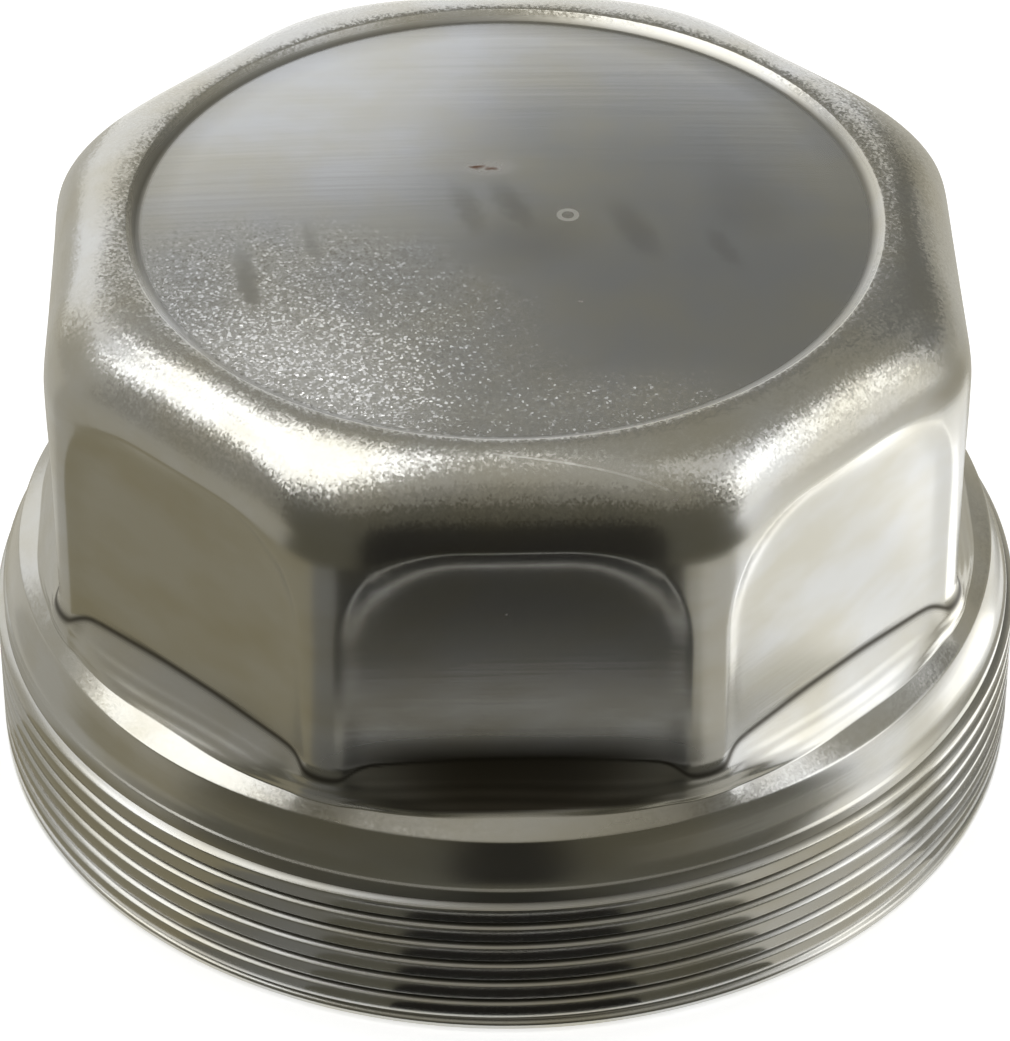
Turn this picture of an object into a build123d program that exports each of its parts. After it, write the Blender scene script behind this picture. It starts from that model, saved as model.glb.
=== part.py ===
# Screw-on wheel hub grease cap, pressed from one piece of steel sheet.
# Millimetres, +Z up, standing on the rim of its open skirt with the thread axis on Z.
import math
import os

from build123d import *

os.makedirs("parts", exist_ok=True)

# Overall height and sheet
overall_height = 49.5
sheet = 2.5

# Threaded skirt, drawn plain at the crest of its thread
thread_diameter = 85.0
thread_length = 14.0
skirt_wall = 3.3
rim_chamfer = 0.5

# Plain turned band above the thread, up to the sharp edge of the ledge
band_step = 0.9
band_chamfer = 0.6
ledge_height = 18.2
ledge_width = 3.1
ledge_slope = 20.0

# Wrench panels pressed into the flats, arched at the top, with shallow sloping walls
sides = 8
panel_flats = 72.0
panel_depth = 0.6
panel_rise = 0.7
panel_arch_radius = 8.0
panel_wall_angle = 17.0
ridge_strip = 2.8
punch_clearance = 0.25

# Hollow that carries each panel out to the ledge
hollow_radius = 6.8
hollow_angle = 39.0
hollow_tuck = 0.2
hollow_round_ratio = 0.44
hollow_steps = 4

# Octagonal drum with rounded ridges, and the shoulder that rolls over to the crown
drum_corner = 8.7
shoulder_height = 8.0
shoulder_reach = 6.0
shoulder_steps = 8

# Smooth inside of the drum, bevelled under the shoulder
cavity_corner = 6.0
cavity_bevel = 2.5

# Crown with a shallow round recess inside a narrow land, slightly domed
crown_round_ratio = 0.94
crown_land = 0.35
crown_dome = 0.8
dome_steps = 2
recess_depth = 0.9
recess_wall_angle = 40.0

# Values that follow from the sizes above
thread_radius = thread_diameter / 2
band_radius = thread_radius - band_step
bore_radius = thread_radius - skirt_wall
panel_radius = panel_flats / 2
drum_radius = panel_radius + panel_depth
cavity_radius = panel_radius - sheet
cavity_top = overall_height - recess_depth - sheet
turn = 180 / sides
panel_width = 2 * (panel_radius * math.tan(math.radians(turn)) - ridge_strip)
shoulder_foot = overall_height - shoulder_height
panel_top = shoulder_foot + panel_rise
crown_radius = drum_radius - shoulder_reach
recess_mouth = crown_radius - crown_land
recess_radius = recess_mouth - recess_depth / math.tan(math.radians(recess_wall_angle))
recess_floor = overall_height - recess_depth
dome_top = recess_floor + crown_dome
hollow_lean = math.radians(hollow_angle)
hollow_top = panel_radius - hollow_tuck
hollow_end = hollow_top + hollow_radius * (1 - math.cos(hollow_lean))
ledge_radius = hollow_end + ledge_width
crease_height = ledge_height + ledge_width * math.tan(math.radians(ledge_slope))
panel_foot = crease_height + hollow_radius * math.sin(hollow_lean)

# The bore opens into the drum by a 45 degree cone that keeps the sheet's thickness under the crease
bore_depth = hollow_end + crease_height - math.sqrt(2) * sheet - bore_radius
cone_top = bore_depth + bore_radius - cavity_radius


def octagon(inradius, corner, level):
    """Octagon with rounded corners at one height."""
    with BuildSketch(Plane.XY.offset(level)) as section:
        RegularPolygon(inradius, sides, major_radius=False, rotation=turn)
        fillet(section.vertices(), corner)
    return section.sketch


def shoulder_section(lean):
    """Octagon where the shoulder has rolled over by an angle from upright, rounder towards the crown."""
    upright = math.cos(lean)
    inradius = crown_radius + shoulder_reach * upright
    corner = drum_corner * upright + crown_round_ratio * inradius * (1 - upright)
    return octagon(inradius, corner, shoulder_foot + shoulder_height * math.sin(lean))


def hollow_section(share):
    """Octagon of the hollow under the panels, from its upright top at 0 to the ledge at 1."""
    lean = hollow_lean * share
    inradius = hollow_top + hollow_radius * (1 - math.cos(lean))
    corner = drum_corner * (1 - share**2) + hollow_round_ratio * inradius * share**2
    return octagon(inradius, corner, panel_foot - hollow_radius * math.sin(lean))


with BuildPart() as punch:
    panel_plane = Plane(origin=(panel_radius, 0, 0), x_dir=(0, 1, 0), z_dir=(1, 0, 0))
    with BuildSketch(panel_plane) as outline:
        Rectangle(panel_width, panel_top, align=(Align.CENTER, Align.MIN))
        fillet(outline.vertices().group_by(Axis.Z)[-1], panel_arch_radius)
    extrude(amount=panel_depth + punch_clearance, taper=panel_wall_angle - 90)

with BuildPart() as shoulder:
    for step in range(shoulder_steps + 1):
        add(shoulder_section(math.pi / 2 * step / shoulder_steps))
    loft(ruled=True)

with BuildPart() as drum:
    add(octagon(drum_radius, drum_corner, thread_length))
    extrude(amount=shoulder_foot - thread_length)
    add(shoulder.part)
    with PolarLocations(0, sides):
        add(punch.part, mode=Mode.SUBTRACT)
    with BuildSketch(Plane.XZ) as recess:
        with BuildLine():
            shares = [step / dome_steps for step in range(dome_steps + 1)]
            dome = [(recess_radius * share, dome_top - crown_dome * share**2) for share in shares]
            Polyline(*dome, (recess_mouth, overall_height), (0, overall_height), close=True)
        make_face()
    revolve(axis=Axis.Z, mode=Mode.SUBTRACT)

with BuildPart() as cavity:
    add(octagon(cavity_radius, cavity_corner, thread_length))
    extrude(amount=cavity_top - thread_length)
    chamfer(cavity.faces().sort_by(Axis.Z)[-1].edges(), cavity_bevel)

with BuildPart() as hollow:
    for step in range(hollow_steps + 1):
        add(hollow_section(step / hollow_steps))
    loft()

with BuildPart() as ledge:
    add(hollow_section(1))
    with BuildSketch(Plane.XY.offset(ledge_height)):
        Circle(ledge_radius)
    loft()

with BuildPart() as hub_cap:
    with BuildSketch(Plane.XZ) as skirt:
        with BuildLine():
            Polyline(
                (0, 0),
                (thread_radius - rim_chamfer, 0),
                (thread_radius, rim_chamfer),
                (thread_radius, thread_length),
                (band_radius, thread_length + band_chamfer),
                (ledge_radius, ledge_height),
                (0, ledge_height),
                close=True,
            )
        make_face()
    revolve(axis=Axis.Z)
    add(ledge.part)
    add(hollow.part)
    add(drum.part)
    add(cavity.part, mode=Mode.SUBTRACT)
    with BuildSketch(Plane.XZ) as bore:
        with BuildLine():
            Polyline(
                (0, 0),
                (bore_radius + rim_chamfer, 0),
                (bore_radius, rim_chamfer),
                (bore_radius, bore_depth),
                (cavity_radius, cone_top),
                (0, cone_top),
                close=True,
            )
        make_face()
    revolve(axis=Axis.Z, mode=Mode.SUBTRACT)

hub_cap.part.label = "hub_cap"
export_step(hub_cap.part, "parts/hub_cap.step")
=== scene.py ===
"""Dressed model of a screw-on wheel hub grease cap, one pressed and plated steel piece."""
import logging
import math
from dataclasses import dataclass, field
from enum import Enum

import bpy
import numpy as np
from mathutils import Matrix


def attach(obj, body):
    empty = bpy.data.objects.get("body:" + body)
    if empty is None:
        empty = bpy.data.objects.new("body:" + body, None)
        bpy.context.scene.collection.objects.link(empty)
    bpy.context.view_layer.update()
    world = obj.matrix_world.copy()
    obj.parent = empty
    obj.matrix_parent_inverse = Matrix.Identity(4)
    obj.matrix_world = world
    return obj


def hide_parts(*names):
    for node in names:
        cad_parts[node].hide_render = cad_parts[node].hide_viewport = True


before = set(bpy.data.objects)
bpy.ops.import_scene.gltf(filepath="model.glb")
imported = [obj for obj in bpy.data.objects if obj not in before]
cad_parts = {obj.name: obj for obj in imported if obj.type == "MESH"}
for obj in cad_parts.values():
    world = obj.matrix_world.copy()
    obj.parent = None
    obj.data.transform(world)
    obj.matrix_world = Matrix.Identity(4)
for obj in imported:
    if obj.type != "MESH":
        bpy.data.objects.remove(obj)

LOG = logging.getLogger("hub_cap")
MM = 0.001

# Shader nodes are fed by an output socket, or by a node whose first output counts
Tree = bpy.types.NodeTree
Source = bpy.types.NodeSocket | bpy.types.Node

# Flats of the cap, and half the angle that one of them takes
SIDES = 8
HALF_FLAT = math.pi / SIDES

# Fitted camera, in pixels of the photograph: focal length, picture height and the aim point's row
FOCAL_ROWS = 5235
PICTURE_ROWS = 1041
AIM_ROW = 573.7
SENSOR_MM = 36

# Radii of the papers on the floor, in metres: at the cap's rim, and the near and the far edge round it
RIM = 0.043
NEAR = 0.11
FAR = 1.4
PAPER_COLUMNS = 25
PANEL_ROWS = 13
SHEET_ROWS = 3


class Region(Enum):
    """Zones of the cap's skin that carry their own wear, and the zone whose colour carries painted shade,
    partly soiling.
    """

    CROWN = "crown"
    # Zone whose colour carries painted shade, partly soiling
    SHADE_AND_GRIME = "painted_shade_and_grime"
    GRAIN = "grain"


def linear(code: str) -> tuple[float, float, float, float]:
    """Turn an sRGB hex code into a linear colour.

    Args:
        code: Six hex digits after a hash sign.

    Returns:
        Red, green, blue and an alpha of one, as a shader takes them.
    """
    share = np.array([int(code[i : i + 2], 16) / 255 for i in (1, 3, 5)])
    value = np.where(share <= 0.04045, share / 12.92, ((share + 0.055) / 1.055) ** 2.4)
    return (*value.tolist(), 1.0)


def add_node(tree: Tree, kind: str, inputs: dict | None = None) -> bpy.types.Node:
    """Add one shader node with its settings and its incoming links.

    Args:
        tree: Node tree that takes the node.
        kind: Blender's type name of the node, without the ShaderNode that it starts with.
        inputs: Properties by name, and values or sources of sockets by name or number.

    Returns:
        The new node.
    """
    node = tree.nodes.new("ShaderNode" + kind)
    for name, value in (inputs or {}).items():
        if isinstance(value, bpy.types.Node):
            value = value.outputs[0]
        if isinstance(value, bpy.types.NodeSocket):
            tree.links.new(value, node.inputs[name])
        elif isinstance(name, str) and name in node.bl_rna.properties:
            setattr(node, name, value)
        else:
            node.inputs[name].default_value = value
    return node


def octagon_radius(angle: np.ndarray, inradius: np.ndarray, corner: np.ndarray) -> np.ndarray:
    """Distance from the axis to a rounded octagon.

    On a flat the distance is the inradius over the cosine of the angle from the flat's middle.
    Round a corner it is the far crossing of the ray with the corner's own circle.

    Args:
        angle: Angle from the middle of the nearest flat, in radians.
        inradius: Distance from the axis to the flats.
        corner: Radius of the rounded corners.

    Returns:
        The distance for every pair, in the unit of the sizes.
    """
    gap = HALF_FLAT - np.abs(angle)
    centre = (inradius - corner) / math.cos(HALF_FLAT)
    beyond = np.sqrt(np.maximum(corner**2 - (centre * np.sin(gap)) ** 2, 0))
    straight = inradius * np.abs(np.tan(angle)) <= (inradius - corner) * math.tan(HALF_FLAT)
    return np.where(straight, inradius / np.cos(angle), centre * np.cos(gap) + beyond)


def soft_low(first: np.ndarray, second: np.ndarray, width: float | np.ndarray) -> np.ndarray:
    """Lower of two heights, with their crossing rounded over a small width."""
    return (first + second - np.sqrt((first - second) ** 2 + width**2)) / 2


def soft_high(first: np.ndarray, second: np.ndarray, width: float | np.ndarray) -> np.ndarray:
    """Higher of two heights, with their crossing filled over a small width."""
    return (first + second + np.sqrt((first - second) ** 2 + width**2)) / 2


def fade(value: np.ndarray, start: float | np.ndarray, end: float | np.ndarray) -> np.ndarray:
    """Smooth step from 0 at start to 1 at end, level at both."""
    share = np.clip((value - start) / (end - start), 0, 1)
    return share * share * (3 - 2 * share)


@dataclass(frozen=True)
class Patch:
    """Rows of the skin: radius, height and wear at every row and column."""

    radius: np.ndarray
    height: np.ndarray
    wear: dict[Region, np.ndarray] = field(default_factory=dict)


def grid_mesh(name: str, rings: np.ndarray) -> bpy.types.Mesh:
    """Closed mesh over a grid whose columns wrap round and whose first and last rows are poles.

    Args:
        name: Name of the mesh.
        rings: Points as rows by columns by three, from one pole row to the other, in metres.

    Returns:
        The mesh, with quads between the rows and fans of triangles at both poles.
    """
    rows, columns = rings.shape[:2]
    inner = rings[1:-1].reshape(-1, 3)
    points = np.vstack([inner, rings[0, :1], rings[-1, :1]])
    top = len(inner)
    here = np.arange(columns)
    after = np.roll(here, -1)
    row = np.arange(rows - 3)[:, None] * columns
    quads = np.stack([row + here, row + columns + here, row + columns + after, row + after], -1)
    last = (rows - 3) * columns
    upper = np.stack([np.full(columns, top), here, after], -1)
    lower = np.stack([last + here, np.full(columns, top + 1), last + after], -1)
    loops = np.concatenate([quads.ravel(), upper.ravel(), lower.ravel()])
    sizes = np.concatenate([np.full(quads.size // 4, 4), np.full(2 * columns, 3)])
    mesh = bpy.data.meshes.new(name)
    mesh.vertices.add(len(points))
    mesh.vertices.foreach_set("co", points.ravel().astype(np.float32))
    mesh.loops.add(len(loops))
    mesh.loops.foreach_set("vertex_index", loops.astype(np.int32))
    mesh.polygons.add(len(sizes))
    starts = np.concatenate([[0], np.cumsum(sizes)[:-1]])
    mesh.polygons.foreach_set("loop_start", starts.astype(np.int32))
    mesh.polygons.foreach_set("use_smooth", np.ones(len(sizes), dtype=bool))
    mesh.update(calc_edges=True)
    mesh.validate()
    return mesh


def store_wear(mesh: bpy.types.Mesh, region: Region, values: np.ndarray) -> None:
    """Keep one wear mask as a point attribute of a pole-closed grid mesh.

    Args:
        mesh: Mesh made by grid_mesh.
        region: Zone that names the attribute.
        values: Mask as rows by columns, in the order of the mesh's rings.
    """
    inner = values[1:-1].ravel()
    flat = np.concatenate([inner, values[0, :1], values[-1, :1]])
    layer = mesh.attributes.new(region.value, "FLOAT", "POINT")
    layer.data.foreach_set("value", flat.astype(np.float32))


@dataclass(frozen=True)
class Mark:
    """One small stain on the skin, an ellipse seen from above, in millimetres."""

    centre: tuple[float, float]
    reach: tuple[float, float]
    turn: float
    strength: float


@dataclass(frozen=True)
class PlatedSteel:
    """Zinc-plated pressed steel with a satin, slightly olive sheen.

    The eye sees soft broad reflections drawn out by fine level draw lines, a warm grey cast, a granular
    sparkle in patches of etching, whose lighter colour is a painted highlight, brown rust in a few specks,
    and painted shade, partly soiling, in the creases, in the thread's roots and low at the front.
    Real draw lines and plating crystals are finer than a pixel of the render, so both are drawn as coarse
    as they need to be to show.
    """

    name: str = "zinc_plated_pressed_steel"
    clean: str = "#c5c5c2"
    olive: str = "#bdbaae"
    # Dark colour of the painted shade, partly soiling, in the creases, the thread's roots and low at the
    # front
    shade_and_grime: str = "#332e23"
    rust: str = "#5b3b22"
    cool: str = "#c1c3c5"
    straw: str = "#c0bfb7"
    # Lighter colour of the patches of etching: a painted highlight
    etched_highlight: str = "#dadad8"
    scraped: str = "#ecebe6"
    smudge: str = "#87857d"
    line_length_mm: float = 16.0
    line_height_mm: float = 0.32
    line_depth: float = 4.5e-6
    streak_mm: float = 0.8
    streak_length_mm: float = 30.0
    blotch_mm: float = 11.0
    olive_range: tuple[float, float] = (0.38, 0.66)
    speck_mm: float = 1.6
    speck_range: tuple[float, float] = (0.79, 0.85)
    ragged_mm: float = 1.1
    ragged_shift_mm: float = 1.2
    skin_roughness: float = 0.19
    crown_roughness: float = 0.15
    blotch_roughness: float = 0.1
    etched_roughness: float = 0.29
    shade_and_grime_roughness: float = 0.42
    scraped_roughness: float = 0.6
    rust_roughness: float = 0.8
    rust_metal: float = 0.2
    facet_mm: float = 0.2
    facet_tilt: float = 1.15
    facet_satin: float = 0.1
    mark_height_mm: float = 48.6
    mark_depth_mm: float = 3.0
    marks: tuple[Mark, ...] = (
        Mark((-19.8, -7.9), (1.0, 5.4), 0.16, 0.34),
        Mark((-14.8, -2.9), (0.8, 3.8), 0.2, 0.22),
        Mark((-2.2, 0.6), (1.7, 6.2), 0.27, 0.36),
        Mark((1.6, 0.8), (1.9, 6.2), 0.38, 0.42),
        Mark((2.4, -3.0), (7.5, 6.0), 0.2, 0.26),
        Mark((10.8, -1.8), (2.2, 6.0), 0.35, 0.32),
        Mark((17.8, -4.4), (1.3, 4.4), 0.35, 0.2),
        Mark((20.0, 2.0), (5.0, 7.0), 0.2, 0.16),
    )
    rust_marks: tuple[Mark, ...] = (
        Mark((-1.6, 7.1), (1.0, 0.62), -0.1, 1.0),
        Mark((-0.3, 6.9), (1.1, 0.55), 0.1, 0.9),
        Mark((-0.6, 7.0), (3.2, 1.7), 0.0, 0.14),
    )
    glitter: tuple[Mark, ...] = (
        Mark((-17.5, -23.5), (20.0, 19.0), 0.0, 1.0),
        Mark((-17.0, -21.0), (29.0, 24.0), 0.0, 0.42),
        Mark((4.0, -26.0), (24.0, 8.0), 0.1, 0.3),
    )
    ring_mark: tuple[float, float, float] = (5.0, -0.5, 0.7)
    ring_half_mm: float = 0.2
    scratch: tuple[float, float, float] = (-32.05, -0.145, -0.003)
    scratch_run: tuple[float, float] = (5.0, 6.6)
    scratch_half_mm: float = 0.07
    hairline_strength: float = 0.26
    roof_mm: float = 46.6

    def stain(self, tree: Tree, place: Source, mark: Mark) -> Source:
        """Soft elliptical mask of one mark.

        With the distance from the mark's centre measured in the mark's own reach, the mask falls smoothly
        from its strength at a quarter to nothing at one.

        Args:
            tree: Node tree of the finish.
            place: Object coordinates, already roughened.
            mark: The mark to draw.

        Returns:
            Mask from 0 to the mark's strength.
        """
        centre = (*mark.centre, self.mark_height_mm)
        reach = (*mark.reach, self.mark_depth_mm)
        centred = add_node(
            tree,
            "Mapping",
            {
                "vector_type": "TEXTURE",
                "Location": tuple(length * MM for length in centre),
                "Rotation": (0, 0, mark.turn),
                "Scale": tuple(length * MM for length in reach),
                "Vector": place,
            },
        )
        far = add_node(tree, "VectorMath", {"operation": "LENGTH", 0: centred})
        soft_rim = {"interpolation_type": "SMOOTHSTEP", "From Min": 1.0, "From Max": 0.25}
        ends = {"To Max": mark.strength, "Value": far.outputs["Value"]}
        return add_node(tree, "MapRange", {**soft_rim, **ends})

    def stains(self, tree: Tree, place: Source, marks: tuple[Mark, ...]) -> Source:
        """Highest mask of several marks.

        Args:
            tree: Node tree of the finish.
            place: Object coordinates, already roughened.
            marks: The marks to draw.

        Returns:
            Mask from 0 to the strongest mark's strength.
        """
        mask = self.stain(tree, place, marks[0])
        for mark in marks[1:]:
            other = self.stain(tree, place, mark)
            mask = add_node(tree, "Math", {"operation": "MAXIMUM", 0: mask, 1: other})
        return mask

    def noise(self, tree: Tree, place: Source, size_mm: tuple[float, ...], detail: float) -> Source:
        """Noise whose grains have a real size along each axis.

        Args:
            tree: Node tree of the finish.
            place: Object coordinates in metres.
            size_mm: Grain size along X, Y and Z in millimetres.
            detail: Octaves of finer noise.

        Returns:
            The noise's factor, about 0.5 on average.
        """
        scaled = add_node(
            tree,
            "VectorMath",
            {"operation": "MULTIPLY", 0: place, 1: tuple(1 / (size * MM) for size in size_mm)},
        )
        return add_node(tree, "TexNoise", {"Scale": 1.0, "Detail": detail, "Vector": scaled})

    def make(self) -> bpy.types.Material:
        """Build the finish.

        Returns:
            The material, with its wear and its painted shade read from the skin's own attributes.
        """
        material = bpy.data.materials.new(self.name)
        material.use_nodes = True
        tree = material.node_tree
        tree.nodes.clear()
        place = add_node(tree, "TexCoord").outputs["Object"]
        wear = {
            region: add_node(tree, "Attribute", {"attribute_name": region.value}).outputs["Fac"]
            for region in Region
        }

        # Patterns in real sizes: level draw lines, streaks along the crown, blotches and rust specks
        length, run = self.line_length_mm, self.streak_length_mm
        lines = self.noise(tree, place, (length, length, self.line_height_mm), 3.0)
        streaks = self.noise(tree, place, (run, self.streak_mm, run), 2.0)
        blotch = self.noise(tree, place, (self.blotch_mm, self.blotch_mm, 0.5 * self.blotch_mm), 4.0)
        speck = self.noise(tree, place, (self.speck_mm,) * 3, 2.0)

        # Marks with ragged rims, since their place is shifted by a fine noise
        ragged = self.noise(tree, place, (self.ragged_mm,) * 3, 3.0)
        shift = self.ragged_shift_mm * MM
        bent = add_node(
            tree, "VectorMath", {"operation": "MULTIPLY_ADD", 0: ragged, 1: (shift, shift, 0.0), 2: place}
        )
        smudge = self.stains(tree, bent, self.marks)
        rust = self.stains(tree, bent, self.rust_marks)
        glitter = self.stains(tree, bent, self.glitter)

        # Patches of etching lie on the crown, where no smudge covers them: their crystals tilt, and their
        # lighter colour is a painted highlight where the lamp sparkles
        bare = add_node(tree, "Math", {"operation": "MULTIPLY", 0: glitter, 1: wear[Region.CROWN]})
        patch = add_node(
            tree, "Math", {"operation": "MULTIPLY_ADD", "use_clamp": True, 0: smudge, 1: -2.0, 2: bare}
        )
        hairline = self.hairlines(tree, place)

        # Colour, from the clean plating up to the rust
        start, end = self.olive_range
        olive_share = add_node(tree, "MapRange", {"From Min": start, "From Max": end, "Value": blotch})
        base = self.mix(tree, olive_share, linear(self.clean), linear(self.olive))
        crown = self.mix(tree, olive_share, linear(self.cool), linear(self.straw))
        base = self.mix(tree, wear[Region.CROWN], base, crown)
        # Painted highlight: the patches of etching turn lighter where the lamp sparkles on the front of
        # the crown
        base = self.mix(tree, patch, base, linear(self.etched_highlight))
        base = self.mix(tree, smudge, base, linear(self.smudge))
        base = self.mix(tree, hairline, base, linear(self.scraped))
        # Painted shade, partly soiling: the creases, the thread's roots and the low front go over to a
        # dark brown
        base = self.mix(tree, wear[Region.SHADE_AND_GRIME], base, linear(self.shade_and_grime))
        start, end = self.speck_range
        speck_share = add_node(tree, "MapRange", {"From Min": start, "From Max": end, "Value": speck})
        brown = add_node(tree, "Math", {"operation": "MAXIMUM", 0: rust, 1: speck_share})
        base = self.mix(tree, brown, base, linear(self.rust))

        # Sheen: satin plating, duller in the patches of etching, where shade and some soiling are painted,
        # and where scraped or rusty
        rough = self.blend(tree, wear[Region.CROWN], self.skin_roughness, self.crown_roughness)
        rough = add_node(
            tree, "Math", {"operation": "MULTIPLY_ADD", 0: blotch, 1: self.blotch_roughness, 2: rough}
        )
        rough = self.blend(tree, patch, rough, self.etched_roughness)
        rough = self.blend(tree, wear[Region.SHADE_AND_GRIME], rough, self.shade_and_grime_roughness)
        rough = self.blend(tree, hairline, rough, self.scraped_roughness)
        rough = self.blend(tree, brown, rough, self.rust_roughness)
        metal = self.blend(tree, brown, 1.0, self.rust_metal)

        # Relief of the lines, and the crystals that flash
        height = self.blend(tree, wear[Region.CROWN], lines, streaks)
        ground = add_node(tree, "Bump", {"Strength": 1.0, "Distance": self.line_depth, "Height": height})
        sparkle = self.facets(tree, place, patch, wear[Region.GRAIN], ground)
        shader = add_node(
            tree,
            "BsdfPrincipled",
            {"Base Color": base, "Roughness": rough, "Metallic": metal, "Normal": sparkle},
        )
        add_node(tree, "OutputMaterial", {"Surface": shader})
        return material

    def hairlines(self, tree: Tree, place: Source) -> Source:
        """Mask of the hairline scratch on the front shoulder and of the small ring on the crown.

        The scratch is where Y is near a parabola of X, and the ring where the distance from its centre is
        near its radius. Both are on the outside alone, above the roof of the hollow inside.

        Args:
            tree: Node tree of the finish.
            place: Object coordinates in metres.

        Returns:
            Mask of both lines, faint as they are.
        """
        parts = add_node(tree, "SeparateXYZ", {0: place}).outputs
        level, slope, bend = self.scratch
        curve = add_node(tree, "Math", {"operation": "MULTIPLY_ADD", 0: parts[0], 1: bend / MM, 2: slope})
        lower = add_node(
            tree, "Math", {"operation": "MULTIPLY_ADD", 0: curve, 1: parts[0], 2: level * MM}
        )
        on_line = add_node(
            tree, "Math", {"operation": "COMPARE", 0: parts[1], 1: lower, 2: self.scratch_half_mm * MM}
        )
        middle, reach = self.scratch_run
        on_run = add_node(
            tree, "Math", {"operation": "COMPARE", 0: parts[0], 1: middle * MM, 2: reach * MM}
        )
        line = add_node(tree, "Math", {"operation": "MULTIPLY", 0: on_line, 1: on_run})
        x, y, size = self.ring_mark
        flat = add_node(tree, "CombineXYZ", {0: parts[0], 1: parts[1]})
        far = add_node(tree, "VectorMath", {"operation": "DISTANCE", 0: flat, 1: (x * MM, y * MM, 0)})
        ring = add_node(
            tree,
            "Math",
            {"operation": "COMPARE", 0: far.outputs["Value"], 1: size * MM, 2: self.ring_half_mm * MM},
        )
        both = add_node(tree, "Math", {"operation": "MAXIMUM", 0: line, 1: ring})
        outside = add_node(tree, "Math", {"operation": "GREATER_THAN", 0: parts[2], 1: self.roof_mm * MM})
        faint = add_node(tree, "Math", {"operation": "MULTIPLY", 0: outside, 1: self.hairline_strength})
        return add_node(tree, "Math", {"operation": "MULTIPLY", 0: both, 1: faint})

    def facets(self, tree: Tree, place: Source, patch: Source, grain: Source, normal: Source) -> Source:
        """Tilt single crystals of the plating, so that some of them flash.

        Every cell of a crystal pattern has a random colour, which tilts the cell's normal: much in the
        patches of etching, the more the bluer the cell, and a little where the satin grain breaks up the
        highlights.

        Args:
            tree: Node tree of the finish.
            place: Object coordinates in metres.
            patch: Mask of the patches of etching, which also carries their painted highlight.
            grain: Mask of the satin grain.
            normal: Normal to tilt.

        Returns:
            The tilted normal.
        """
        cells = add_node(
            tree, "TexVoronoi", {"Scale": 1 / (self.facet_mm * MM), "Vector": place}
        ).outputs["Color"]
        blue = add_node(tree, "SeparateXYZ", {0: cells}).outputs[2]
        uneven = add_node(tree, "Math", {"operation": "POWER", 0: blue, 1: 2.0})
        lively = add_node(tree, "Math", {"operation": "MULTIPLY", 0: uneven, 1: patch})
        satin = add_node(tree, "Math", {"operation": "MULTIPLY", 0: grain, 1: self.facet_satin})
        centred = add_node(tree, "VectorMath", {"operation": "SUBTRACT", 0: cells, 1: (0.5, 0.5, 0.5)})
        amount = add_node(
            tree, "Math", {"operation": "MULTIPLY_ADD", 0: lively, 1: self.facet_tilt, 2: satin}
        )
        tilt = add_node(tree, "VectorMath", {"operation": "SCALE", "Scale": amount, 0: centred})
        leaning = add_node(tree, "VectorMath", {"operation": "ADD", 0: tilt, 1: normal})
        return add_node(tree, "VectorMath", {"operation": "NORMALIZE", 0: leaning})

    def mix(self, tree: Tree, share: Source, first: Source | tuple, second: Source | tuple) -> Source:
        """Mix two colours by a mask, which is 0 for the first and 1 for the second."""
        return add_node(tree, "Mix", {"data_type": "RGBA", 0: share, 6: first, 7: second}).outputs[2]

    def blend(self, tree: Tree, share: Source, first: Source | float, second: Source | float) -> Source:
        """Mix two numbers by a mask, which is 0 for the first and 1 for the second."""
        return add_node(tree, "Mix", {"data_type": "FLOAT", 0: share, 2: first, 3: second})


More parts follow.
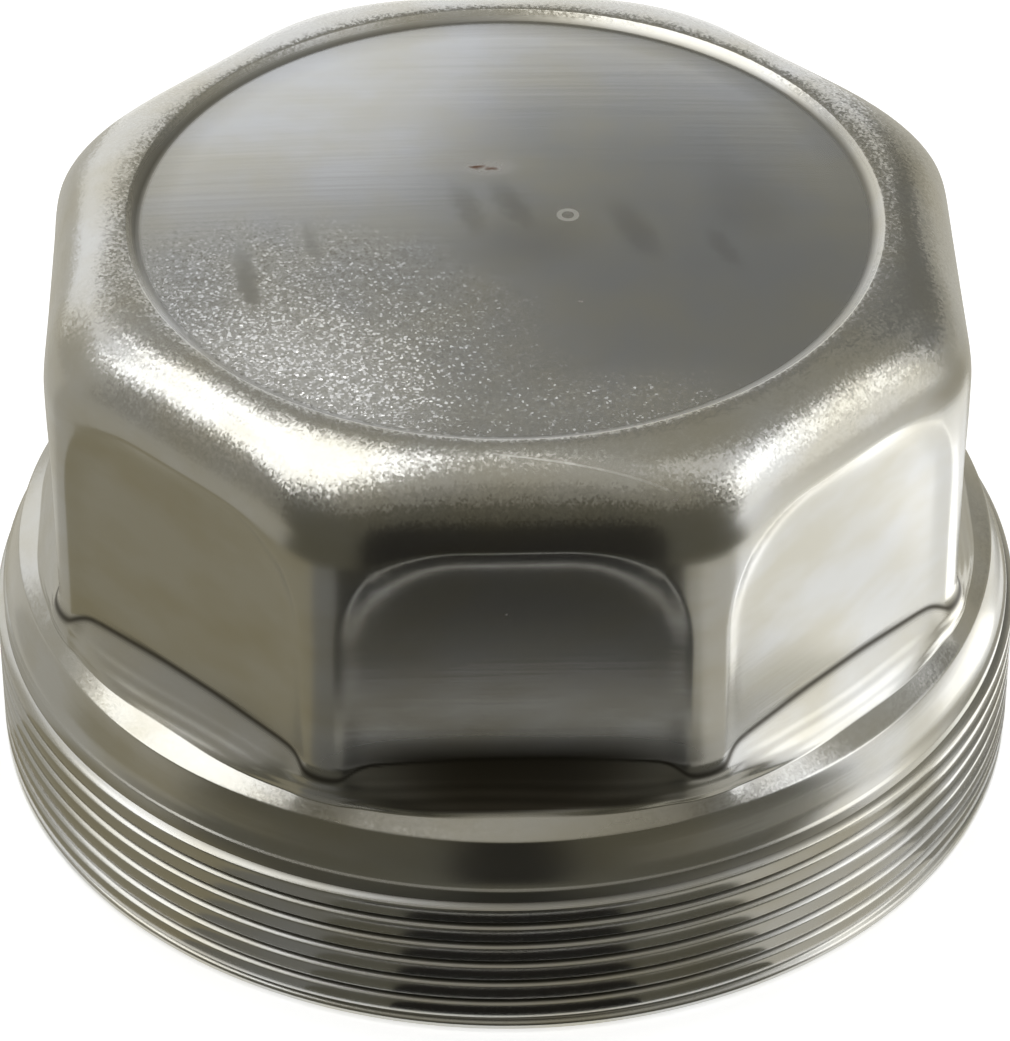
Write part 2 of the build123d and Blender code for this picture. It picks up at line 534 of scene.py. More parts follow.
@dataclass
class HubCap:
    """The cap's skin, one closed surface in millimetres, outside and inside, with its rolled thread."""

    overall_height: float = 49.5
    panel_radius: float = 36.0
    panel_depth: float = 0.6
    panel_half: float = 12.11
    panel_top: float = 42.2
    arch_radius: float = 8.0
    wall_slope: float = math.tan(math.radians(17))
    wall_fillet: float = 0.8
    ridge_round: float = 0.22
    arch_round: float = 0.05
    arch_zone: tuple[float, float] = (33.0, 40.0)
    arch_foot: float = 33.5
    plain_foot: float = 26.2
    drum_corner: float = 8.7
    shoulder_height: float = 8.0
    shoulder_reach: float = 6.0
    crown_ratio: float = 0.94
    crown_land: float = 0.35
    recess_depth: float = 0.7
    crown_dome: float = 0.68
    recess_run: float = 0.85
    hollow_radius: float = 17.9
    hollow_start: float = math.radians(28)
    hollow_lean: float = math.radians(43)
    hollow_tuck: float = 0.05
    hollow_ratio: float = 0.81
    hollow_bow: float = 0.25
    ridge_flow: float = 0.75
    ripple_count: float = 4.5
    ripple_height: float = 0.014
    ledge_width: float = 1.748
    ledge_rise: float = 1.02
    ledge_height: float = 18.2
    band_radius: float = 41.6
    band_foot: float = 14.6
    thread_radius: float = 42.5
    root_radius: float = 41.9
    root_sink: float = 0.35
    pitch: float = 2.0
    thread_foot: float = 1.35
    thread_end: float = 13.75
    front_crest: float = 2.35
    bore_radius: float = 39.2
    bore_depth: float = 13.91
    cavity_radius: float = 33.5
    cavity_corner: float = 6.0
    cavity_top: float = 46.1
    cavity_bevel: float = 2.5
    rim_chamfer: float = 0.5
    # Reach and strength of the painted shade at the front: on the panel and in the hollow, on the ledge
    # and in the thread's roots
    front_shade_reach: float = 0.36
    front_shade_zone: tuple[float, float] = (23.4, 25.9)
    ledge_shade_reach: float = 0.5
    shade_reach: float = 0.7
    shade_even: float = 0.12
    shade_front: float = 0.73
    fine_from: float = math.radians(17)
    floor_columns: int = 24
    wall_columns: int = 40
    turn_columns: int = 240

    def __post_init__(self) -> None:
        """Work out the sizes that follow from the others, and the columns round the axis."""
        self.drum_radius = self.panel_radius + self.panel_depth
        self.crown_radius = self.drum_radius - self.shoulder_reach
        self.shoulder_foot = self.overall_height - self.shoulder_height
        self.hollow_top = self.panel_radius - self.hollow_tuck
        reach = math.cos(self.hollow_start) - math.cos(self.hollow_lean)
        drop = math.sin(self.hollow_lean) - math.sin(self.hollow_start)
        self.hollow_end = self.hollow_top + self.hollow_radius * reach
        self.ledge_radius = self.hollow_end + self.ledge_width
        self.panel_foot = self.ledge_height + self.ledge_rise + self.hollow_radius * drop
        near = self.fine_from
        middle = np.linspace(-near, near, self.floor_columns, endpoint=False)
        side = np.linspace(near, 2 * HALF_FLAT - near, self.wall_columns, endpoint=False)
        one = np.concatenate([middle, side])
        turns = np.arange(SIDES)[:, None] * 2 * HALF_FLAT
        self.angle = (turns + one).ravel()
        self.bend = np.tile(np.where(one > HALF_FLAT, one - 2 * HALF_FLAT, one), SIDES)

    def rings(self, inradius: np.ndarray, corner: np.ndarray, height: np.ndarray) -> Patch:
        """Rows of rounded octagons, one for each inradius, corner radius and height.

        Each radius is the mean of five near angles, so that a flat eases into its corner as pressed
        sheet does.

        Args:
            inradius: Distance of the flats from the axis, one for each row.
            corner: Radius of the corners, one for each row.
            height: Height of each row.

        Returns:
            The rows.
        """
        spread = np.radians([-2.4, -1.2, 0.0, 1.2, 2.4])[:, None, None]
        near = (self.bend[None, None] + spread + HALF_FLAT) % (2 * HALF_FLAT) - HALF_FLAT
        radius = octagon_radius(near, inradius[None, :, None], corner[None, :, None]).mean(0)
        return Patch(radius, np.broadcast_to(height[:, None], radius.shape))

    def circles(self, points: list[tuple[float, float]], steps: int) -> Patch:
        """Rows of circles along straight runs of a profile.

        Args:
            points: Radius and height at the ends of the runs.
            steps: Rows in each run.

        Returns:
            The rows, without the last point.
        """
        ends = np.array(points)
        share = np.linspace(0, 1, steps, endpoint=False)[None, :, None]
        run = (ends[:-1, None] * (1 - share) + ends[1:, None] * share).reshape(-1, 2)
        shape = (len(run), len(self.angle))
        return Patch(np.broadcast_to(run[:, :1], shape), np.broadcast_to(run[:, 1:], shape))

    def outline_distance(self, height: np.ndarray) -> np.ndarray:
        """Distance outside the outline of a wrench panel, negative inside.

        The outline is a rectangle open at its foot with two rounded top corners.

        Args:
            height: Height of every grid point.

        Returns:
            Signed distance in the panel's plane, in millimetres.
        """
        across = np.abs((self.panel_radius + self.panel_depth / 2) * np.tan(self.bend))[None]
        side = across - (self.panel_half - self.arch_radius) + 0 * height
        above = height - (self.panel_top - self.arch_radius)
        corner = np.hypot(np.maximum(side, 0), np.maximum(above, 0))
        return corner + np.minimum(np.maximum(side, above), 0) - self.arch_radius

    def pressed(self, patch: Patch) -> Patch:
        """Press the wrench panels into rows of the drum.

        The pressed surface is the panel's plane, and outside its outline it rises by the wall's slope.
        The skin is the lower of the drum and the pressed surface, with an edge that is sharper round the
        arch than along the ridges.

        Args:
            patch: Rows of the drum before pressing.

        Returns:
            The pressed rows.
        """
        outside = self.outline_distance(patch.height)
        rise = self.wall_slope * soft_high(outside, np.zeros_like(outside), self.wall_fillet)
        panel = (self.panel_radius + rise) / np.cos(self.bend)[None]
        sharper = (self.ridge_round - self.arch_round) * fade(patch.height, *self.arch_zone)
        radius = soft_low(patch.radius, panel, self.ridge_round - sharper)
        return Patch(radius, patch.height)

    def crown(self) -> Patch:
        """Crown's floor, a paraboloid dome, and the sloped wall of its recess.

        Returns:
            The rows, from the middle to the land at the recess's edge.
        """
        top = self.overall_height
        low = top - self.recess_depth
        edge = self.crown_radius - self.crown_land
        foot = edge - self.recess_run
        floor = self.circles([(0, low), (foot - 0.5, low)], 12)
        turn_up = [(foot - 0.5, low), (foot - 0.15, low + 0.015), (foot + 0.06, low + 0.08)]
        turn_out = [(edge - 0.12, top - 0.1), (edge - 0.03, top - 0.025), (edge + 0.12, top)]
        wall = self.circles(turn_up + turn_out, 2)
        radius = np.vstack([floor.radius, wall.radius])
        dome = self.crown_dome * np.maximum(1 - (radius / foot) ** 2, 0)
        height = np.vstack([floor.height, wall.height]) + dome
        on_floor = 1 - fade(radius, foot - 0.6, foot + 0.2)
        # Painted shade in the corner at the foot of the recess wall
        crease = np.exp(-(((radius - foot) / 0.35) ** 2)) * 0.5
        grain = fade(radius, foot, edge)
        wear = {Region.CROWN: on_floor, Region.SHADE_AND_GRIME: crease, Region.GRAIN: grain}
        return Patch(radius, height, wear)

    def shoulder(self) -> Patch:
        """Shoulder that rolls from the crown down to the drum: an ellipse of rounded octagons.

        The rows lie closer near its foot, where the arches of the panels cut into it.

        Returns:
            The rows.
        """
        close = math.radians(22)
        upper = np.linspace(math.pi / 2, close, 20, endpoint=False)
        lower = np.linspace(close, 0, 16, endpoint=False)
        lean = np.concatenate([upper, lower])
        upright = np.cos(lean)
        inradius = self.crown_radius + self.shoulder_reach * upright
        corner = self.drum_corner * upright + self.crown_ratio * inradius * (1 - upright)
        rows = self.rings(inradius, corner, self.shoulder_foot + self.shoulder_height * np.sin(lean))
        patch = self.pressed(rows)
        grain = fade(lean, 0.3, 0.8)[:, None] + 0 * patch.radius
        return Patch(patch.radius, patch.height, {Region.GRAIN: grain})

    def drum(self, height: np.ndarray) -> Patch:
        """Pressed drum at the given heights."""
        size = np.full(len(height), self.drum_radius)
        return self.pressed(self.rings(size, np.full(len(height), self.drum_corner), height))

    def panels(self) -> Patch:
        """Drum from the shoulder's foot to the foot of the wrench panels.

        The front panel is darkened low down, towards the hollow: painted shade, partly soiling.

        Returns:
            The rows, close round the arches and wide along the plain walls.
        """
        arch = np.linspace(self.shoulder_foot, self.arch_foot, 28, endpoint=False)
        plain = np.linspace(self.arch_foot, self.plain_foot, 6, endpoint=False)
        foot = np.linspace(self.plain_foot, self.panel_foot + 0.5, 4)
        patch = self.drum(np.concatenate([arch, plain, foot]))
        # Painted shade, partly soiling, low on the front panel
        front_shade_and_grime = 0.8 * self.front(self.front_shade_reach) * (1 - fade(patch.height, *self.front_shade_zone))
        return Patch(patch.radius, patch.height, {Region.SHADE_AND_GRIME: front_shade_and_grime})

    def front(self, reach: float) -> np.ndarray:
        """Mask of the columns within an angle of the front, with soft ends."""
        return np.exp(-(((self.angle - 1.5 * math.pi) / reach) ** 4))[None]

    def hollow(self) -> Patch:
        """Hollow under the panels: an arc swept outwards, from which the ridges flow down.

        Fine ripples left by the press run along it, a sine of the way down that wanders with the angle.
        Painted shade darkens the crease where the hollow meets the panels, and painted shade, partly
        soiling, darkens the front hollow.

        Returns:
            The rows, down to the ledge.
        """
        share = np.linspace(0, 1, 30)
        lean = self.hollow_start + (self.hollow_lean - self.hollow_start) * share
        inradius = self.hollow_top + self.hollow_radius * (math.cos(self.hollow_start) - np.cos(lean))
        corner = self.drum_corner * (1 - share**2) + self.hollow_ratio * inradius * share**2
        height = self.panel_foot - self.hollow_radius * (np.sin(lean) - math.sin(self.hollow_start))
        sweep = self.rings(inradius, corner, height)
        drum = self.drum(height)
        aside = np.abs(self.bend)[None]
        down = share[:, None]
        ridge = fade(aside, math.radians(16), math.radians(20))
        bow = self.hollow_bow * fade(aside, math.radians(3), math.radians(19)) * (1 - down)
        swept = sweep.radius - bow
        radius = soft_high(swept, drum.radius, 0.04 + self.ridge_flow * ridge * fade(down, 0.05, 0.5))
        wander = np.sin(3 * self.angle) + 0.6 * np.sin(11 * self.angle + 1.0)
        ripple = np.sin(2 * math.pi * (self.ripple_count * down + 0.25 * wander[None]))
        strength = self.ripple_height * fade(share, 0.3, 0.5) * (1 - fade(share, 0.9, 1.0))
        # Painted shade in the crease where the hollow meets the panels, and at the front
        crease = np.exp(-(((swept - drum.radius) / 0.17) ** 2))
        edge = 0.87 + 0.03 * wander[None]
        front_shade_and_grime = 0.95 * self.front(self.front_shade_reach) * (1 - fade(down, edge - 0.04, edge + 0.04))
        shade_and_grime = np.maximum(0.9 * crease, front_shade_and_grime)
        return Patch(radius + strength[:, None] * ripple, sweep.height, {Region.SHADE_AND_GRIME: shade_and_grime})

    def ledge(self, last: np.ndarray) -> Patch:
        """Ledge that slopes from the hollow's last row to a round sharp edge.

        Args:
            last: Radius of the hollow's last row.

        Returns:
            The rows.
        """
        share = np.array([0.04, 0.1, 0.2, 0.32, 0.45, 0.6, 0.75, 0.88, 0.96])[:, None]
        radius = last[None] * (1 - share) + self.ledge_radius * share
        height = self.ledge_height + self.ledge_rise * (1 - share) + 0 * radius
        # Painted shade: the ledge is a little darker at the front
        ledge_shade = self.shade_even * self.front(self.ledge_shade_reach) + 0 * radius
        grain = 0.4 * fade(share, 0.0, 0.3) + 0 * radius
        return Patch(radius, height, {Region.GRAIN: grain, Region.SHADE_AND_GRIME: ledge_shade})

    def skirt(self) -> Patch:
        """Turned band, thread root, collar and rim.

        Returns:
            The rows, from the ledge's edge to the foot of the bore.
        """
        profile = [
            (self.ledge_radius, self.ledge_height - 0.02),
            (self.ledge_radius + 0.05, self.ledge_height - 0.12),
            (self.band_radius, self.band_foot),
            (self.root_radius, self.band_foot - 0.3),
            (self.root_radius, 1.2),
            (self.thread_radius - 0.1, 0.85),
            (self.thread_radius - 0.05, 0.5),
            (self.thread_radius - self.rim_chamfer, 0.04),
            (self.thread_radius - self.rim_chamfer - 0.05, 0),
            (self.bore_radius + self.rim_chamfer + 0.05, 0),
            (self.bore_radius + self.rim_chamfer, 0.04),
        ]
        rows = self.circles(profile, 3)
        # Painted shade in the thread's root, most of all at the front
        root = np.where(rows.radius < self.root_radius + 0.05, 1.0, 0.0)
        low = fade(rows.height, 0.9, 1.6) * (1 - fade(rows.height, 13.9, self.band_foot))
        front = self.shade_even + self.shade_front * self.front(self.shade_reach)
        return Patch(rows.radius, rows.height, {Region.SHADE_AND_GRIME: front * root * low})

    def inside(self) -> Patch:
        """Bore, its cone into the octagonal hollow of the drum, and the crown's underside.

        Returns:
            The rows, from the foot of the bore to the middle of the roof.
        """
        bore = self.circles(
            [
                (self.bore_radius, self.rim_chamfer),
                (self.bore_radius, self.rim_chamfer + 0.2),
                (self.bore_radius, self.bore_depth - 0.1),
            ],
            3,
        )
        walk = np.linspace(0, self.bore_radius - self.cavity_radius, 10, endpoint=False)[:, None]
        wall = octagon_radius(self.bend[None], self.cavity_radius, self.cavity_corner)
        cone = soft_high(self.bore_radius - walk, wall, 0.1)
        cone_height = self.bore_depth + walk + 0 * cone
        bevel = self.cavity_top - self.cavity_bevel
        height = np.array([self.bore_depth + self.bore_radius - self.cavity_radius, 30.0, bevel - 0.2])
        upright = self.rings(np.full(3, self.cavity_radius), np.full(3, self.cavity_corner), height)
        inset = np.linspace(0.1, self.cavity_bevel, 5)
        slope = self.rings(self.cavity_radius - inset, self.cavity_corner - inset, bevel + inset)
        inward = np.array([self.cavity_radius - self.cavity_bevel - 0.2, 20.0, 8.0, 0.0])
        roof = self.rings(inward, inward * 0.3, np.full(4, self.cavity_top))
        parts = [bore, Patch(cone, cone_height), upright, slope, roof]
        radius = np.vstack([part.radius for part in parts])
        height = np.vstack([part.height for part in parts])
        return Patch(radius, height)

    def skin(self) -> bpy.types.Object:
        """Build the cap's skin as one closed mesh.

        The point at a column's angle and a row's radius and height is the radius times the cosine and
        the sine of the angle, at that height.

        Returns:
            The piece, in metres, at the origin.
        """
        hollow = self.hollow()
        patches = [self.crown(), self.shoulder(), self.panels(), hollow]
        patches += [self.ledge(hollow.radius[-1]), self.skirt(), self.inside()]
        radius = np.vstack([patch.radius for patch in patches])
        height = np.vstack([patch.height for patch in patches])
        rings = np.stack([radius * np.cos(self.angle), radius * np.sin(self.angle), height], -1) * MM
        mesh = grid_mesh("hub_cap_skin", rings)
        for region in Region:
            blank = [np.zeros_like(patch.radius) for patch in patches]
            rows = [patch.wear.get(region, empty) for patch, empty in zip(patches, blank)]
            store_wear(mesh, region, np.vstack(rows))
        piece = bpy.data.objects.new("hub_cap_skin", mesh)
        bpy.context.scene.collection.objects.link(piece)
        return piece

    def thread(self) -> bpy.types.Object:
        """Build the rolled thread as one closed ridge.

        A ridge profile is carried along a right-hand helix, and its depth fades to nearly nothing over
        the first and last part of a turn. Painted shade darkens the root, most of all at the front.

        Returns:
            The piece, in metres, at the origin.
        """
        start = (self.thread_foot - self.front_crest) / self.pitch * 2 * math.pi - math.pi / 2
        end = (self.thread_end - self.front_crest) / self.pitch * 2 * math.pi - math.pi / 2
        turn = np.linspace(start, end, int((end - start) / (2 * math.pi) * self.turn_columns))
        depth = self.thread_radius - self.root_radius
        lower = np.array([(-0.5, -1.05), (0.0, -0.95), (0.9, -0.66), (1.0, -0.58)])
        shape = np.vstack([lower, lower[::-1] * (1, -1)])
        grow = 0.04 + 0.96 * (fade(turn, start, start + 1.4) * (1 - fade(turn, end - 1.2, end)))[:, None]
        out = shape[None, :, 0] * depth
        radius = self.root_radius - self.root_sink + (out + self.root_sink) * grow
        spread = shape[None, :, 1] * (0.2 + 0.8 * grow)
        climb = self.front_crest + (turn[:, None] + math.pi / 2) / (2 * math.pi) * self.pitch
        across, along = np.cos(turn)[:, None], np.sin(turn)[:, None]
        rings = np.stack([radius * across, radius * along, climb + spread], -1) * MM
        caps = [np.broadcast_to(rings[k].mean(0), (1, *rings.shape[1:])) for k in (0, -1)]
        rings = np.concatenate([caps[0], rings, caps[1]])
        mesh = grid_mesh("hub_cap_thread", rings)
        crest = np.broadcast_to(fade(shape[:, 0], 0.3, 0.95)[None], rings.shape[:2])
        every = np.concatenate([turn[:1], turn, turn[-1:]])
        aside = np.arccos(np.clip(-np.sin(every), -1, 1))[:, None]
        # Painted shade in the root, most of all at the front
        root_shade = self.shade_even + self.shade_front * np.exp(-((aside / self.shade_reach) ** 4))
        store_wear(mesh, Region.SHADE_AND_GRIME, (1 - crest) * root_shade)
        piece = bpy.data.objects.new("hub_cap_thread", mesh)
        bpy.context.scene.collection.objects.link(piece)
        return piece

    def build(self, finish: PlatedSteel) -> list[bpy.types.Object]:
        """Build and dress the pieces, and set them on the cap's own body.

        Args:
            finish: Finish of the whole cap.

        Returns:
            The pieces, in the order in which they were made.
        """
        material = finish.make()
        pieces = [self.skin(), self.thread()]
        for piece in pieces:
            piece.data.materials.append(material)
            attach(piece, "root")
            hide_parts("hub_cap")
        return pieces


class Tone(Enum):
    """Papers of the light tent: an sRGB code and a brightness, 1 for paper as light as the white floor."""

    BLACK = ("#232220", 1.0)
    SHADE = ("#3d3c36", 1.0)
    DARK = ("#615f54", 1.0)
    GREY = ("#7d7c77", 1.0)
    OLIVE = ("#99937f", 1.0)
    MIDDLE = ("#96938a", 1.0)
    SOFT = ("#a6a49b", 1.0)
    PALE = ("#b7b4aa", 1.0)
    CREAM = ("#cfccc2", 1.0)
    LIGHT = ("#ecebe5", 1.0)
    BRIGHT = ("#ffffff", 1.15)
    WHITE = ("#ffffff", 1.4)
    LAMP = ("#ffffff", 2.4)


@dataclass(frozen=True)
class TentPanel:
    """A curved paper panel of the light tent, which shows only in reflections."""

    name: str
    azimuth: tuple[float, float]
    elevation: tuple[float, float]
    tone: Tone
    distance: float = 0.62

    def build(self) -> bpy.types.Object:
        """Hang the panel: the part of a sphere round the cap between two azimuths and two elevations.

        Azimuth 0 is along X and 90 along Y. A point is the distance times the direction of its angles.

        Returns:
            The panel, hidden from the camera.
        """
        turn = np.radians(np.linspace(*self.azimuth, PAPER_COLUMNS))[None, :]
        rise = np.radians(np.linspace(*self.elevation, PANEL_ROWS))[:, None]
        level = np.cos(rise) * self.distance
        height = np.sin(rise) * self.distance + 0 * turn
        grid = np.stack([level * np.cos(turn), level * np.sin(turn), height], -1)
        return reflected_paper(self.name, grid, self.tone)


@dataclass(frozen=True)
class FloorPaper:
    """A sector of paper laid on the floor round the cap, which shows only in reflections."""

    name: str
    azimuth: tuple[float, float]
    reach: tuple[float, float]
    tone: Tone
    level: float = 0.0006

    def build(self) -> bpy.types.Object:
        """Lay the sheet: the part of a flat ring between two azimuths and two radii.

        Returns:
            The sheet, hidden from the camera.
        """
        turn = np.radians(np.linspace(*self.azimuth, PAPER_COLUMNS))[None, :]
        out = np.linspace(*self.reach, SHEET_ROWS)[:, None]
        grid = np.stack([out * np.cos(turn), out * np.sin(turn), self.level + 0 * out * turn], -1)
        return reflected_paper(self.name, grid, self.tone)


def reflected_paper(name: str, grid: np.ndarray, tone: Tone) -> bpy.types.Object:
    """Make studio paper that only reflections show.

    Args:
        name: Name of the paper.
        grid: Points as rows by columns by three, in metres.
        tone: Colour and brightness of the paper.

    Returns:
        The paper, hidden from the camera, from diffuse rays and from shadows.
    """
    rows, columns = grid.shape[:2]
    first = (np.arange(rows - 1)[:, None] * columns + np.arange(columns - 1)).ravel()
    quads = np.stack([first, first + 1, first + columns + 1, first + columns], -1)
    mesh = bpy.data.meshes.new(name)
    mesh.from_pydata(grid.reshape(-1, 3).tolist(), [], quads.tolist())
    mesh.materials.append(glow(name, *tone.value))
    paper = bpy.data.objects.new(name, mesh)
    bpy.context.scene.collection.objects.link(paper)
    paper.visible_camera = False
    paper.visible_diffuse = False
    paper.visible_shadow = False
    return paper


def seen_rays(tree: Tree) -> Source:
    """Tell rays that are seen from rays that only light things.

    Args:
        tree: Node tree that takes the nodes.

    Returns:
        1 for rays from the eye, from metal and through glass, and 0 for all others.
    """
    path = add_node(tree, "LightPath").outputs
    seen = add_node(
        tree, "Math", {"operation": "ADD", 0: path["Is Camera Ray"], 1: path["Is Glossy Ray"]}
    )
    return add_node(
        tree, "Math", {"operation": "ADD", "use_clamp": True, 0: seen, 1: path["Is Transmission Ray"]}
    )


def glow(name: str, colour: str, strength: float) -> bpy.types.Material:
    """Plain glowing paper of the light tent, which the eye sees only in the metal.

    Args:
        name: Name of the material.
        colour: sRGB hex code.
        strength: Brightness, 1 for paper as light as the white floor.

    Returns:
        The material.
    """
    material = bpy.data.materials.new(name)
    material.use_nodes = True
    tree = material.node_tree
    tree.nodes.clear()
    light = add_node(tree, "Emission", {"Color": linear(colour), "Strength": strength})
    add_node(tree, "OutputMaterial", {"Surface": light})
    return material


@dataclass
class Studio:
    """Pale floor, even air, one soft lamp, the light tent's papers and the camera."""

    floor_size: float = 3.0
    floor_colour: str = "#f4f4f2"
    floor_glow: float = 0.55
    floor_roughness: float = 0.9
    world_level: float = 0.45
    lamp_size: float = 0.8
    lamp_height: float = 0.9
    lamp_watts: float = 3.0
    lens: float = FOCAL_ROWS / PICTURE_ROWS * SENSOR_MM
    distance: float = 0.4395
    aim_height: float = 0.01275
    azimuth: float = math.radians(-1.24)
    elevation: float = math.radians(38.30)
    tilt: float = math.atan((AIM_ROW - PICTURE_ROWS / 2) / FOCAL_ROWS)
    papers: tuple[TentPanel | FloorPaper, ...] = (
        TentPanel("overhead_panel", (0, 360), (74, 90), Tone.PALE, 0.66),
        TentPanel("right_high_panel", (0, 80), (46, 76), Tone.SOFT, 0.64),
        TentPanel("right_panel", (15, 88), (16, 46), Tone.GREY, 0.63),
        TentPanel("back_high_panel", (78, 136), (49, 75), Tone.SOFT, 0.65),
        TentPanel("back_middle_panel", (70, 142), (38, 50), Tone.MIDDLE, 0.63),
        TentPanel("back_panel", (70, 142), (29, 39), Tone.GREY, 0.62),
        TentPanel("back_low_panel", (72, 142), (6, 31.3), Tone.BRIGHT, 0.61),
        TentPanel("back_left_panel", (89, 142), (31.3, 33.6), Tone.BRIGHT, 0.61),
        TentPanel("back_left_high_panel", (91, 142), (33.6, 37.0), Tone.BRIGHT, 0.61),
        TentPanel("right_front_panel", (0, 34), (34, 46), Tone.SOFT, 0.6),
        TentPanel("left_panel", (142, 186), (-3, 33), Tone.PALE),
        TentPanel("left_front_panel", (186, 202), (-3, 33), Tone.MIDDLE),
        TentPanel("front_left_panel", (202, 262), (-3, 38), Tone.DARK),
        TentPanel("front_left_high_panel", (204, 270), (38, 56), Tone.MIDDLE),
        TentPanel("front_right_panel", (262, 334), (-3, 38), Tone.DARK),
        TentPanel("front_right_high_panel", (270, 334), (38, 56), Tone.MIDDLE),
        TentPanel("front_top_panel", (222, 334), (56, 76), Tone.PALE),
        TentPanel("front_gap", (259, 281), (-3, 17), Tone.BLACK, 0.58),
        TentPanel("left_softbox", (136, 216), (48, 60), Tone.LAMP, 0.5),
        TentPanel("left_top_softbox", (108, 226), (60, 83), Tone.LAMP, 0.5),
        TentPanel("left_low_softbox", (164, 204), (33, 46), Tone.LAMP, 0.5),
        TentPanel("right_softbox", (335, 357), (20, 44), Tone.LAMP, 0.5),
        TentPanel("right_softbox_foot", (335, 357), (-3, 20), Tone.WHITE, 0.5),
        TentPanel("right_edge_panel", (357, 366), (-3, 30), Tone.LIGHT, 0.55),
        TentPanel("right_low_panel", (10, 72), (-3, 17), Tone.PALE, 0.64),
        FloorPaper("back_left_paper", (112, 166), (RIM, FAR), Tone.CREAM),
        FloorPaper("left_back_paper", (166, 187), (RIM, NEAR), Tone.PALE),
        FloorPaper("left_near_paper", (187, 230), (RIM, NEAR), Tone.OLIVE),
        FloorPaper("left_ridge_paper", (230, 246), (RIM, NEAR), Tone.GREY),
        # Painted shadow of the cap on the floor, seen in the metal: the darker papers next to the rim,
        # here and on the right
        FloorPaper("front_left_near_paper", (246, 256), (RIM, 0.0665), Tone.DARK),
        FloorPaper("front_near_paper", (256, 284), (RIM, 0.0665), Tone.BLACK),
        FloorPaper("front_right_low_paper", (284, 300), (RIM, 0.0665), Tone.DARK),
        FloorPaper("front_strip_paper", (246, 290), (0.0665, 0.0705), Tone.LIGHT),
        FloorPaper("front_middle_paper", (246, 290), (0.0705, 0.084), Tone.BLACK),
        FloorPaper("front_outer_paper", (246, 290), (0.084, NEAR), Tone.SHADE),
        FloorPaper("front_right_near_paper", (290, 300), (0.0665, NEAR), Tone.PALE),
        FloorPaper("right_front_near_paper", (300, 326), (RIM, NEAR), Tone.CREAM),
        # Painted shadow of the cap on the floor, seen in the metal
        FloorPaper("right_near_paper", (326, 410), (RIM, 0.058), Tone.MIDDLE),
        FloorPaper("right_strip_paper", (350, 370), (0.053, 0.078), Tone.LAMP, 0.0012),
        FloorPaper("left_far_paper", (166, 208), (NEAR, FAR), Tone.PALE),
        FloorPaper("front_far_paper", (208, 335), (NEAR, FAR), Tone.DARK),
        FloorPaper("front_gap_paper", (259, 281), (NEAR, FAR), Tone.BLACK, 0.0012),
        FloorPaper("right_far_paper", (350, 385), (NEAR, FAR), Tone.PALE),
        FloorPaper("right_front_far_paper", (335, 350), (NEAR, FAR), Tone.BRIGHT),
        FloorPaper("wall_strip_paper", (337, 350), (0.0505, 0.0578), Tone.LAMP, 0.0012),
        FloorPaper("back_right_paper", (25, 72), (0.058, FAR), Tone.CREAM),
    )

    def floor(self) -> bpy.types.Object:
        """Lay the pale matt floor: the eye sees plain white with the cap's soft shadow on it.

        The floor glows a little for the eye and for metal, so that it stays white round the shadow.

        Returns:
            The floor.
        """
        half = self.floor_size / 2
        corners = [(-half, -half, 0), (half, -half, 0), (half, half, 0), (-half, half, 0)]
        mesh = bpy.data.meshes.new("floor")
        mesh.from_pydata(corners, [], [(0, 1, 2, 3)])
        floor = bpy.data.objects.new("floor", mesh)
        bpy.context.scene.collection.objects.link(floor)
        material = bpy.data.materials.new("pale_matt_floor")
        material.use_nodes = True
        tree = material.node_tree
        tree.nodes.clear()
        level = add_node(tree, "Math", {"operation": "MULTIPLY", 0: seen_rays(tree), 1: self.floor_glow})
        shader = add_node(
            tree,
            "BsdfPrincipled",
            {
                "Base Color": linear(self.floor_colour),
                "Roughness": self.floor_roughness,
                "Emission Color": (1, 1, 1, 1),
                "Emission Strength": level,
            },
        )
        add_node(tree, "OutputMaterial", {"Surface": shader})
        mesh.materials.append(material)
        return floor

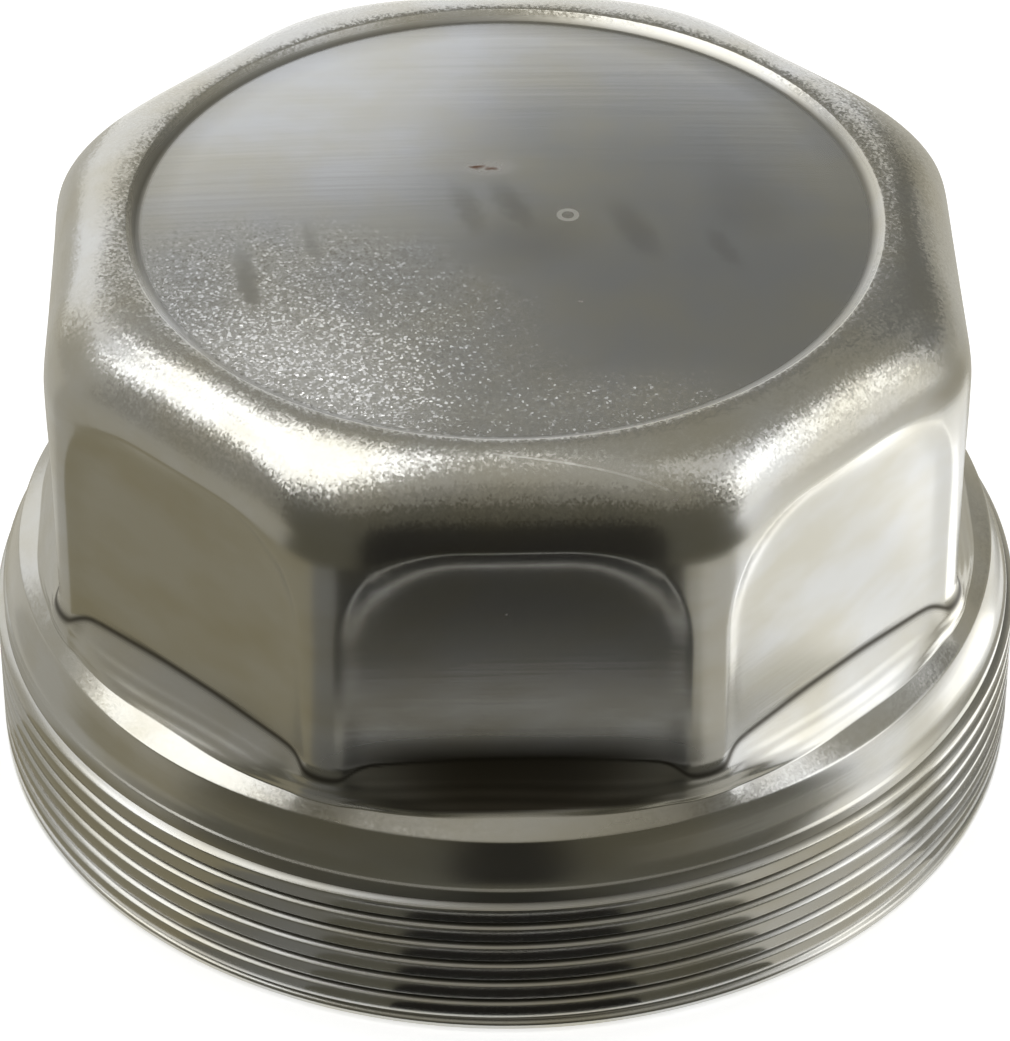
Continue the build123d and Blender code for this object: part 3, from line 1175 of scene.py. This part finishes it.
    def world(self) -> None:
        """Light the scene evenly from all round, and show white to the eye and to metal."""
        world = bpy.data.worlds.new("studio_air")
        world.use_nodes = True
        tree = world.node_tree
        tree.nodes.clear()
        level = add_node(
            tree, "MapRange", {"To Min": self.world_level, "To Max": 1.0, "Value": seen_rays(tree)}
        )
        air = add_node(tree, "Background", {"Color": (1, 1, 1, 1), "Strength": level})
        add_node(tree, "OutputWorld", {"Surface": air})
        bpy.context.scene.world = world

    def lamp(self) -> bpy.types.Object:
        """Hang one broad soft lamp over the cap, for the floor's shadow.

        Returns:
            The lamp, which metal doesn't mirror.
        """
        data = bpy.data.lights.new("overhead_lamp", "AREA")
        data.shape = "SQUARE"
        data.size = self.lamp_size
        data.energy = self.lamp_watts
        lamp = bpy.data.objects.new("overhead_lamp", data)
        lamp.location = (0.0, 0.0, self.lamp_height)
        lamp.visible_glossy = False
        bpy.context.scene.collection.objects.link(lamp)
        return lamp

    def camera(self) -> bpy.types.Object:
        """Place the camera at the photograph's viewing angle.

        The eye stands at the aim point plus the distance along the view's back direction.

        Returns:
            The camera, made the scene's own.
        """
        data = bpy.data.cameras.new("camera")
        data.sensor_fit = "VERTICAL"
        data.sensor_height = SENSOR_MM
        data.lens = self.lens
        data.clip_start = 0.01
        data.clip_end = 20
        camera = bpy.data.objects.new("camera", data)
        level = math.cos(self.elevation) * self.distance
        rise = math.sin(self.elevation) * self.distance
        camera.location = (
            math.sin(self.azimuth) * level,
            -math.cos(self.azimuth) * level,
            self.aim_height + rise,
        )
        camera.rotation_euler = (math.pi / 2 - self.elevation + self.tilt, 0, self.azimuth)
        bpy.context.scene.collection.objects.link(camera)
        bpy.context.scene.camera = camera
        return camera

    def build(self) -> None:
        """Set up the floor, the light, the papers and the camera."""
        bpy.context.scene.view_settings.view_transform = "Standard"
        self.floor()
        self.world()
        self.lamp()
        for paper in self.papers:
            paper.build()
        self.camera()


def main() -> None:
    """Build the cap and the studio."""
    logging.basicConfig(level=logging.INFO)
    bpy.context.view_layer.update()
    for piece in HubCap().build(PlatedSteel()):
        LOG.info("%s: %d faces", piece.name, len(piece.data.polygons))
    Studio().build()


if __name__ == "__main__":
    main()
